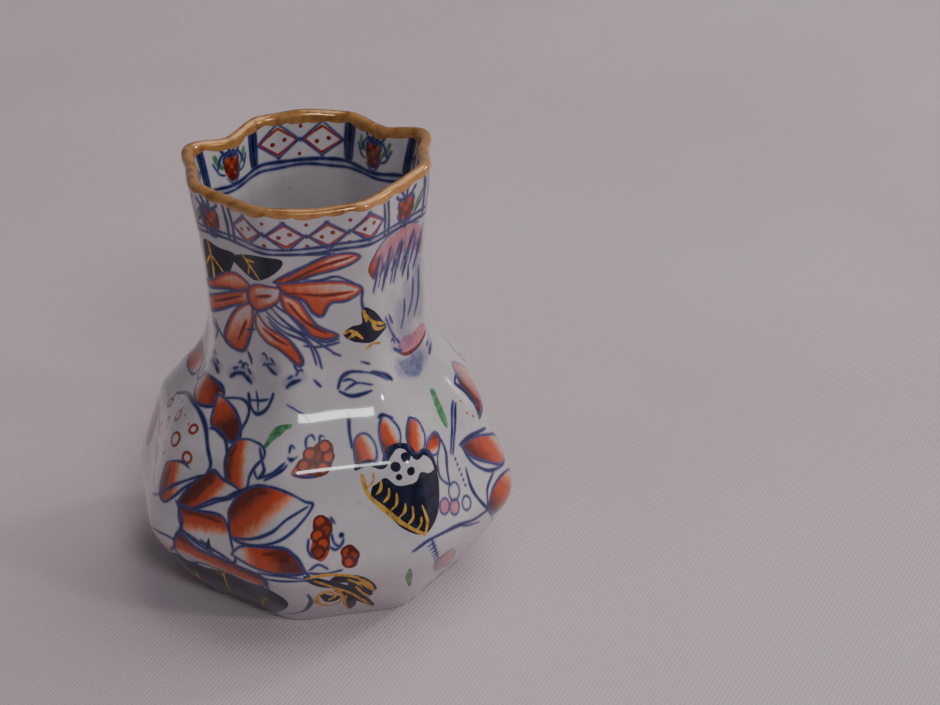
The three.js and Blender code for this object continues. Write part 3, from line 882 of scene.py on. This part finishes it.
def paintNeckSpray(p):
    # iron-red spray of long petals, with the navy leaf above it and blue reed strokes
    for leaf in ([(-64.5, 96.3), (-55, 95.6), (-45, 95.2), (-50, 90.7), (-56, 86), (-66.5, 85.3), (-67, 91)],
                 [(-47.5, 94), (-43, 95.5), (-29.5, 97), (-18, 97), (-17.5, 95), (-25, 92), (-34, 90.3),
                  (-43, 92)]):
        p.fill("navy", leaf)
    for vein in ([(-62, 96.3), (-61.5, 92), (-62, 86.5)], [(-61.5, 93), (-66.5, 90)],
                 [(-61.5, 93), (-55.5, 89.7)],
                 [(-39.5, 95.8), (-35.5, 93.7), (-30.5, 90.8)], [(-36, 94), (-37.5, 91.5)],
                 [(-38, 95), (-32, 95)]):
        p.stroke("gold", vein, 0.5)
    petals = [
        ([(-23, 91), (-17, 93), (-6, 95.3), (5, 97.2), (15, 97.4), (19.8, 95.9), (12, 93.9), (-3, 92.4),
          (-16, 90.5)], (-2, 92.6), (8, 98)),
        ([(-37, 88.3), (-46, 90.4), (-55, 89.5), (-64, 86.7), (-76, 84.3), (-66, 84.2), (-55, 85.4),
          (-44, 86.2)], (-52, 85), (-54, 91)),
        ([(-38, 87.2), (-53, 85), (-65, 82.7), (-84, 79), (-84, 75.5), (-65, 78.6), (-50, 82), (-38, 84)],
         (-48, 81), (-52, 88)),
        ([(-39, 84), (-49, 81.6), (-57, 77), (-60.5, 72), (-50, 70.4), (-44, 74), (-38.5, 80)],
         (-46, 73), (-55, 81)),
        ([(-36, 82.3), (-30, 79.5), (-20, 77.5), (-13.5, 72), (-15.8, 70), (-24, 73.8), (-32.5, 75.3),
          (-38, 78.3)], (-19, 72.5), (-33, 81)),
        ([(-19.5, 89.8), (-31, 89.6), (-38.5, 88), (-41, 84.7), (-36, 82.3), (-28, 84), (-21, 86.5)],
         (-39, 84), (-26, 89)),
        ([(-20, 88.5), (-12, 86.5), (-8, 83), (-3.5, 79.6), (6, 77), (2, 76), (-3, 76), (-9.5, 77.7),
          (-15.5, 81.5), (-19.8, 85)], (-10, 78.5), (-1, 84)),
        ([(-21, 90.8), (-9, 91), (6, 90.7), (15, 89.7), (19.8, 87.7), (12, 85.3), (4, 85), (-1, 81.9),
          (-6, 83), (-10, 86.3), (-17.5, 88)], (-3, 84.5), (6, 92)),
    ]
    for outline, dark, pale in petals:
        p.petal(outline, dark, pale, 0.34, 0.95, 0.36, 0.85)
    for line in ([(-17, 91), (0, 94.5), (16, 96.3)], [(-16, 88.5), (0, 87.2), (15, 87.5)],
                 [(-17, 86), (-10, 81), (0, 77.5)],
                 [(-25, 87.5), (-35, 86)], [(-45, 85), (-65, 81)], [(-44, 79), (-52, 73)],
                 [(-33, 78.5), (-20, 75.5)]):
        p.stroke("red", line, 0.55, 0.3, 1.15)
    for line in ([(-30, 83.5), (-22, 80.5), (-13, 78), (-6.5, 73.5), (-4.5, 69)],
                 [(-29, 81.8), (-20, 78.5), (-10, 75.5), (-7, 70)],
                 [(-26, 84.5), (-17, 80), (-10, 77.5), (4, 72)], [(-24, 85.5), (-15, 82), (-9, 78.3)],
                 [(-28, 80.5), (-20, 77.3)], [(-18, 70.5), (-16.5, 68.5)], [(2, 72.5), (6, 71.6)],
                 [(-38.5, 77.5), (-45, 76.5)], [(-66, 76.5), (-62, 73), (-57, 72)], [(-9, 66.5), (-6, 64.8)],
                 [(-10, 91.5), (0, 91.2), (8, 91.7), (16, 89.6)], [(-16, 92.3), (-4, 95.7), (8, 97.9)],
                 [(6, 76), (0, 75.3), (-5, 76)], [(20, 87.5), (19, 85), (19.5, 82.5)],
                 [(-12, 75), (-4, 74.3), (6, 75)],
                 [(-70, 76), (-65, 74), (-68, 71.5)], [(-30, 70), (-36, 69)]):
        p.stroke("cobalt", line, 0.5)
    knot = [(8.5, 77), (13, 78.8), (18, 79.3), (18.3, 82), (20, 83.2), (23, 82.5), (27, 80.6), (30, 78.5),
            (33.5, 76), (29, 75), (22.5, 74), (16, 74.5), (12, 75.2)]
    p.reserve(knot)
    p.fill("navy", knot)
    for line in ([(8.5, 77), (13, 77.6), (18, 75.3)], [(20, 81.5), (24, 79), (32, 77)],
                 [(23, 80), (25.5, 77), (32.5, 76.2)],
                 [(11, 75.8), (15.5, 77.2)], [(19, 72.6), (23, 73.6), (28, 72.8)],
                 [(19.5, 82.5), (20.5, 79.5)]):
        p.stroke("gold", line, 0.65, 0.35)


def paintTulip(p):
    # the large soft flower on the right of the neck, rose above with blue streaks below
    p.fill("pink", [(23.5, 92), (26.5, 94.8), (31, 96.2), (39, 97.3), (50.5, 97.8), (61, 96.3), (65, 92.5),
                    (63.5, 88.5), (56.5, 91), (48, 91.5), (40, 91), (33, 90.5), (26, 89)])
    p.fill("red", [(23.3, 92), (26, 94.6), (31, 95.6), (31, 92.5), (27, 89.3)], (24, 91), (33, 95), 1.0, 0.1)
    for i in range(30):
        a = 27 + 1.22 * i
        top = 92.5 + 2.0 * math.sin(0.9 * i) + 0.05 * i
        drop = 4.6 + 2.2 * math.sin(2.4 * i + 1)
        p.stroke("cobalt", [(a + 2.6, top), (a + 1.2, top - drop * 0.5), (a - 1.6, top - drop)],
                 0.5 + 0.28 * math.sin(1.7 * i), 0.2)
        p.haze("wash", [(a + 2.5, top), (a - 0.5, top - drop)], 2.0, 0.35)
    p.stroke("cobalt", [(25, 93.5), (31, 96.6), (40, 98), (52, 98.2), (61, 96.8)], 0.4)
    for line, width, depth in (([(60, 87), (60, 81), (57, 75)], 4.5, 0.6),
                               ([(47, 78), (46, 73), (50, 70)], 7, 0.6),
                               ([(34, 77), (38, 73), (43, 70.5)], 4, 0.5),
                               ([(52, 83), (54, 78), (52, 73)], 4, 0.5),
                               ([(40, 83), (43, 79)], 4, 0.18), ([(63, 80), (62, 74)], 4, 0.5)):
        p.haze("wash", line, width, depth)
    for line in ([(33, 78.5), (37, 74), (41.5, 70.8)], [(61.5, 86), (61, 79), (57, 74)],
                 [(57, 84), (56, 79), (52, 75)],
                 [(36, 78.5), (39, 75.5)], [(50, 80), (49, 76), (46, 73)], [(54, 88), (53, 84)]):
        p.stroke("cobalt", line, 0.55, 0.3)
    p.fill("pink", [(40, 68.2), (44, 66.3), (50, 65.8), (57, 66), (67, 68.3), (63, 71), (55, 70), (47, 70.5)])
    p.stroke("red", [(41, 68), (47, 66.2), (57, 66.3), (67, 68.5)], 0.8, 0.3, 1.0)
    p.fill("wash", [(38.5, 65.5), (43, 61.3), (50.5, 60.2), (56.5, 62.5), (58.3, 65.3), (52, 65.6),
                    (46, 65.4)])
    p.haze("wash", [(40, 64.5), (48, 62.5), (57, 64)], 6, 0.75)


def paintStrawberry(p, middle, down=1, size=1.3):
    # one strawberry hanging from its leaves; down is -1 where the wall runs the other way
    a, s = middle

    def at(x, y):
        return (a + x * size, s + down * y * size)

    berry = [at(x, y) for x, y in ((-4.2, 0.8), (-3, 2.2), (0, 2), (3, 2.3), (4.4, 0.8), (3.6, -1.6),
                                   (0.4, -3), (-3, -2))]
    p.fill("red", berry, at(-2, -2), at(3, 3), 1.3, 0.75, 0.3)
    for i in range(9):
        x, y = -2.4 + 2.3 * (i % 3) + 0.5 * (i // 3), 1.3 - 1.4 * (i // 3)
        p.dot("red", at(x, y), 0.34, 1.35 if i % 2 else 0.55)
    p.stroke("cobalt", berry[:3] + berry[3:5], 0.5)
    for x, y in ((-5, 3.2), (-2.4, 4), (1, 4.2), (4.8, 3.4)):
        p.stroke("cobalt", [at(0.3, 1.8), at(x * 0.7, y - 0.8), at(x, y)], 0.6)
    p.stroke("cobalt", [at(-4.6, -0.4), at(-2.6, -2.6), at(0.4, -3.4), at(3.6, -2.2)], 0.4)


def paintLattice(p, first, last, low, count, tall=7.2):
    # crossed blue lines with red diamonds and dots, between two angles
    step = (last - first) / count
    half, rise = step * 0.44, tall * 0.39
    for i in range(count):
        a = first + step * (i + 0.5)
        s = low + tall / 2 + 0.3 * math.sin(2 * a)
        p.stroke("red", [(a - half, s), (a + 0.3, s + rise), (a + half, s - 0.1), (a, s - rise),
                         (a - half, s)], 0.7, 0.8, 0.8, straight=True)
        p.dot("red", (a - step * 0.14, s - 0.3), 0.52, 0.9)
        p.dot("red", (a + step * 0.12, s + 0.5), 0.56, 0.9)
        left, right = a - step / 2, a + step / 2
        for sign in (-1, 1):
            for side, lean in ((left, 0.6 * sign), (right, -0.6 * sign)):
                p.stroke("cobalt", [(side, s - sign * 0.3), (a + lean, s + sign * tall * 0.5)],
                         0.5, 0.7, straight=True)
        if i:
            p.dot("red", (left - 0.3, low + 0.8), 0.5, 0.9)
            p.dot("red", (left + 0.6, low + tall - 0.8), 0.46, 0.9)


def paintRimBorder(p):
    # the border under the lip: lattice panels, strawberries and double lines
    panels = [(-43, 35), (67, 143), (176, 255)]
    for first, last in panels:
        paintLattice(p, first, last, 99.4, 4)
        for edge in (first - 3.6, first, last, last + 3):
            p.stroke("cobalt", [(edge, 98.8), (edge + 0.5, 103), (edge - 0.2, 107.2)], 0.75, 0.8)
    for place in ((-57, 102.4), (51, 102.4), (154, 102.2), (168, 102.6), (268, 102.3), (287, 102.4)):
        paintStrawberry(p, place)
    for a in (60, 162, 278, 296):
        p.stroke("green", [(a - 3, 101), (a, 103), (a + 3, 104.6)], 1.2, 0.3)
        p.stroke("cobalt", [(a - 4, 99.8), (a, 101.6), (a + 4, 103.8), (a + 4.5, 106.5)], 0.45)
    p.hoop("cobalt", lambda a: 98.3 + 0.35 * math.sin(a / 15) + 0.15 * math.sin(a / 6), 0.6)
    p.hoop("cobalt", lambda a: 99.7 + 0.3 * math.sin(a / 15 + 0.3) + 0.15 * math.sin(a / 7), 0.5)
    p.hazeHoop("wash", lambda a: 99 + 0.3 * math.sin(a / 15), 2.6, 0.3)


def paintLip(p, lip):
    # ochre gilding over the lip, its edges uneven
    p.hoop("rim", lambda a: lip - 0.9 + 0.25 * math.sin(a / 9) + 0.1 * math.sin(a / 3.1), 3.6)
    p.hoop("rim", lambda a: lip + 0.2, 3.4)
    p.hoop("rim", lambda a: lip + 1.2 + 0.2 * math.sin(a / 7 + 1) + 0.1 * math.sin(a / 2.9), 3.0)


def paintInside(p, lip):
    # the same border again inside the mouth, hanging the other way up, and a duller glaze below it
    top = lip + 2.6
    p.layer("dull")[:] = np.clip((p.along - top - 8) / 4, 0, 1)[:, None]
    for first, last, count in ((157, 207, 2), (-24, 24, 2), (66, 112, 2), (248, 294, 2)):
        paintLattice(p, first, last, top + 0.3, count, 8.0)
        for edge in (first - 2.5, last + 2.5):
            p.stroke("navy", [(edge, top - 0.4), (edge + 0.5, top + 4), (edge, top + 8.4)], 2.0, 0.9)
            for side in (-1, 1):
                p.stroke("cobalt", [(edge + side * 2.4, top), (edge + side * 2, top + 8)], 0.6, 0.9)
    for a in (137, 227, 45, 315):
        paintStrawberry(p, (a, top + 4.6), -1)
        for side in (-1, 1):
            p.stroke("cobalt", [(a, top + 0.8), (a + side * 6, top + 1.8), (a + side * 9.5, top + 5.2)], 0.5)
            p.stroke("green", [(a + side * 6, top + 5), (a + side * 9, top + 3.4),
                               (a + side * 10, top + 1.6)], 1.2, 0.3)
            p.stroke("cobalt", [(a + side * 5.5, top + 6.6), (a + side * 9, top + 6),
                                (a + side * 11.5, top + 3.5)], 0.45)
    p.hoop("cobalt", lambda a: top + 9.1 + 0.3 * math.sin(a / 17) + 0.15 * math.sin(a / 7), 0.7)
    p.hoop("cobalt", lambda a: top + 10.4 + 0.3 * math.sin(a / 17) + 0.2 * math.sin(a / 6), 0.5)
    p.hazeHoop("wash", lambda a: top + 9.8 + 0.2 * math.sin(a / 17), 3.4, 0.38)


def paintJug(p, lip):
    # later flowers lie over earlier ones
    paintLowerLeaf(p)
    paintPetals(p)
    paintHeart(p)
    paintScrollLeaf(p)
    paintBerries(p)
    paintFanFlower(p)
    paintSprigs(p)
    paintSecondFlower(p)
    paintShoulder(p)
    paintNeckSpray(p)
    paintTulip(p)
    # the same flowers again round the sides and back
    p.turned(mirrorAt=-84)
    paintPetals(p)
    p.turned(turn=192)
    paintLowerLeaf(p)
    paintPetals(p)
    paintHeart(p)
    p.turned(turn=-172, mirrorAt=12, lift=1)
    paintFanFlower(p)
    p.turned(turn=194)
    paintScrollLeaf(p)
    p.turned(turn=176)
    paintNeckSpray(p)
    p.turned(turn=180, mirrorAt=30)
    paintShoulder(p)
    p.turned(turn=186)
    paintTulip(p)
    p.turned()
    paintRimBorder(p)
    paintInside(p, lip)
    paintLip(p, lip)


paintJug(painter, lipStart + math.pi * wallShape["rimRound"] / 2)
print("flowers painted:", ", ".join(sorted(painter.layers)))


# ---------- handle ----------
handleShape = {
    # distance behind the middle, height, width and thickness along the strap
    "line": [(22.9, 84.7, 12.6, 9.0), (24.8, 84.9, 11.0, 7.3), (28.5, 85.9, 9.4, 6.0), (35, 84.6, 8.5, 5.3),
             (39.4, 78.6, 7.9, 4.9), (39.6, 70.5, 7.5, 4.7), (37.2, 62.5, 7.5, 4.7), (33.6, 55, 8.1, 5.1),
             (31.4, 50.2, 9.0, 5.8), (30.3, 48.4, 10.4, 7.2), (29.2, 47.5, 11.6, 8.8)],
    "squareness": 3.0,
}


def buildHandle():
    fine = curveThrough(np.array(handleShape["line"], float), 40)
    steps = np.linalg.norm(np.diff(fine[:, :2], axis=0), axis=1)
    length = np.concatenate([[0], np.cumsum(steps)])
    gap, columns = ((0.35, 144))
    along = np.linspace(0, length[-1], int(length[-1] / gap))
    line = np.stack([np.interp(along, length, fine[:, i]) for i in range(4)], 1)
    ahead = np.gradient(line[:, :2], axis=0)
    ahead = ahead / np.linalg.norm(ahead, axis=1)[:, None]
    outward = np.stack([-ahead[:, 1], ahead[:, 0]], 1)
    angle = np.arange(columns) * 2 * math.pi / columns
    power = 2 / handleShape["squareness"]
    across = np.sign(np.sin(angle)) * np.abs(np.sin(angle)) ** power
    away = np.sign(np.cos(angle)) * np.abs(np.cos(angle)) ** power
    middle = line[:, None, :2]
    wobble = 1 + 0.012 * np.sin(along * 0.33)[:, None] + 0.008 * np.sin(along[:, None] * 0.71 + 2 * angle)
    x = across[None] * line[:, 2:3] / 2 * wobble
    yz = middle + outward[:, None, :] * (away[None] * line[:, 3:4] / 2 * wobble)[..., None]
    points = np.concatenate([x[..., None], yz], -1)
    piece = meshFromGrid("strapHandle", points)
    girth = (line[:, 2] + line[:, 3]) / 3.6
    brush = PaintedWall(np.arange(columns) * 360 / columns, along, girth)
    addBakeMap(piece, len(along), columns, along)
    return piece, brush


def paintHandle(p):
    # a blue spine with leaf touches down the back of the strap, gilt dashes at its sides
    length = p.along[-1]
    count = 11
    for i in range(count):
        s = 5 + (length - 12) * i / (count - 1)
        lean = 1 if i % 2 else -1
        p.stroke("cobalt", [(0, s - 2.6), (6 * lean, s), (0, s + 2.6)], 0.6)
        p.stroke("cobalt", [(4 * lean, s), (30 * lean, s + 1.3), (44 * lean, s + 2.9)], 1.0, 0.25)
        p.stroke("cobalt", [(4 * lean, s + 0.3), (-22 * lean, s + 1.1), (-34 * lean, s - 0.6)], 0.55, 0.25)
        p.dot("red", (-30 * lean, s + 2.4), 0.6, 0.9)
        p.stroke("gold", [(66, s - 1.3), (72, s + 1.4)], 0.8, 0.4)
        p.stroke("gold", [(-66, s - 1.3), (-72, s + 1.4)], 0.8, 0.4)
        p.haze("wash", [(2 * lean, s), (36 * lean, s + 2)], 2.6, 0.35)


handle, handlePainter = buildHandle()
paintHandle(handlePainter)
glaze = glazedPorcelain()
for piece, brush in ((wall, painter), (handle, handlePainter)):
    piece.data.materials.append(glaze)
    addLayers(piece, brush.layers)
print("handle made, paint laid on")


# ---------- base disc ----------
baseDisc = {"apothem": 28.3, "bottom": 2.55, "top": 5.45, "softEdge": 0.5}


def buildBase():
    b = baseDisc
    soft = b["softEdge"]
    line = [(0.8, b["bottom"]), (b["apothem"] - soft, b["bottom"]), (b["apothem"], b["bottom"] + soft),
            (b["apothem"], b["top"] - soft), (b["apothem"] - soft, b["top"]), (0.8, b["top"])]
    rows = np.concatenate([spaced(line[i:i + 2], 1.2)[:-1] for i in range(len(line) - 1)]
                          + [np.array(line[-1:])])
    angle = np.arange(192) * 2 * math.pi / 192
    points = wallPoint(rows[:, :1], rows[:, 1:], angle[None, :])
    # turning rings and small hollows on the unglazed underside
    across = np.hypot(points[..., 0], points[..., 1])
    under = (points[..., 2] < b["bottom"] + 0.2)
    points[..., 2] += under * 0.06 * np.cos(across * 2.6 + 0.8 * np.sin(angle)[None])
    piece = meshFromGrid("baseDisc", points)
    piece.data.materials.append(bareBiscuit())
    return piece


base = buildBase()
print("base made")


# ---------- studio ----------
studio = {
    "cloth": (3.0, 3.0),
    "camera": (-0.0550, -0.4816, 0.3173),
    "turn": -10.64,
    "tilt": 61.2,
    "roll": -1.14,
    "lens": 91.9,
    "room": (0.80, 0.82, 0.88),
    "roomStrength": 0.23,
    # place, what it points at, size, watts and colour of each lamp
    "lamps": {
        "ceilingLamp": ((0.60, 0.20, 1.28), (0, 0, 0.0), (1.5, 1.2), 11.2, (1.0, 0.96, 0.94)),
        "windowPane": ((0.16, -1.14, 0.98), (0.02, 0, 0.05), (0.34, 0.22), 5.2, (0.95, 0.96, 1.0)),
        "sideLamp": ((0.95, -0.80, 0.58), (0, 0, 0.05), (0.12, 0.12), 3.4, (1.0, 0.96, 0.94)),
        "backLamp": ((1.25, 0.35, 0.62), (0, 0, 0.05), (0.18, 0.18), 4.2, (1.0, 0.93, 0.90)),
    },
}


def areaLight(name, place, target, size, watts, tint):
    lamp = bpy.data.lights.new(name, "AREA")
    lamp.shape = "RECTANGLE"
    lamp.size, lamp.size_y = size
    lamp.energy = watts
    lamp.color = tint
    light = bpy.data.objects.new(name, lamp)
    light.location = place
    light.rotation_euler = (Vector(target) - Vector(place)).to_track_quat("-Z", "Y").to_euler()
    bpy.context.scene.collection.objects.link(light)


def buildStudio():
    width, depth = studio["cloth"]
    cloth = bpy.data.meshes.new("cloth")
    cloth.from_pydata([(-width / 2, -depth / 2, 0), (width / 2, -depth / 2, 0),
                       (width / 2, depth / 2, 0), (-width / 2, depth / 2, 0)], [], [(0, 1, 2, 3)])
    floor = bpy.data.objects.new("cloth", cloth)
    bpy.context.scene.collection.objects.link(floor)
    cloth.materials.append(tableCloth())
    for name, lamp in studio["lamps"].items():
        areaLight(name, *lamp)
    world = bpy.data.worlds.new("room")
    world.use_nodes = True
    background = world.node_tree.nodes["Background"]
    background.inputs["Color"].default_value = (*studio["room"], 1.0)
    background.inputs["Strength"].default_value = studio["roomStrength"]
    bpy.context.scene.world = world
    camera = bpy.data.objects.new("camera", bpy.data.cameras.new("camera"))
    camera.data.lens = studio["lens"]
    camera.data.sensor_width = 36
    camera.data.clip_start = 0.01
    camera.matrix_world = (Matrix.Translation(studio["camera"])
                           @ Matrix.Rotation(math.radians(studio["turn"]), 4, "Z")
                           @ Matrix.Rotation(math.radians(studio["tilt"]), 4, "X")
                           @ Matrix.Rotation(math.radians(studio["roll"]), 4, "Z"))
    bpy.context.scene.collection.objects.link(camera)
    bpy.context.scene.camera = camera


buildStudio()
print("studio set")


# ---------- joining the frame ----------
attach(wall, "root")
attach(base, "root")
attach(handle, "root")
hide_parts("body_left_half", "body_right_half")
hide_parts("base_disc")
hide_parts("handle")
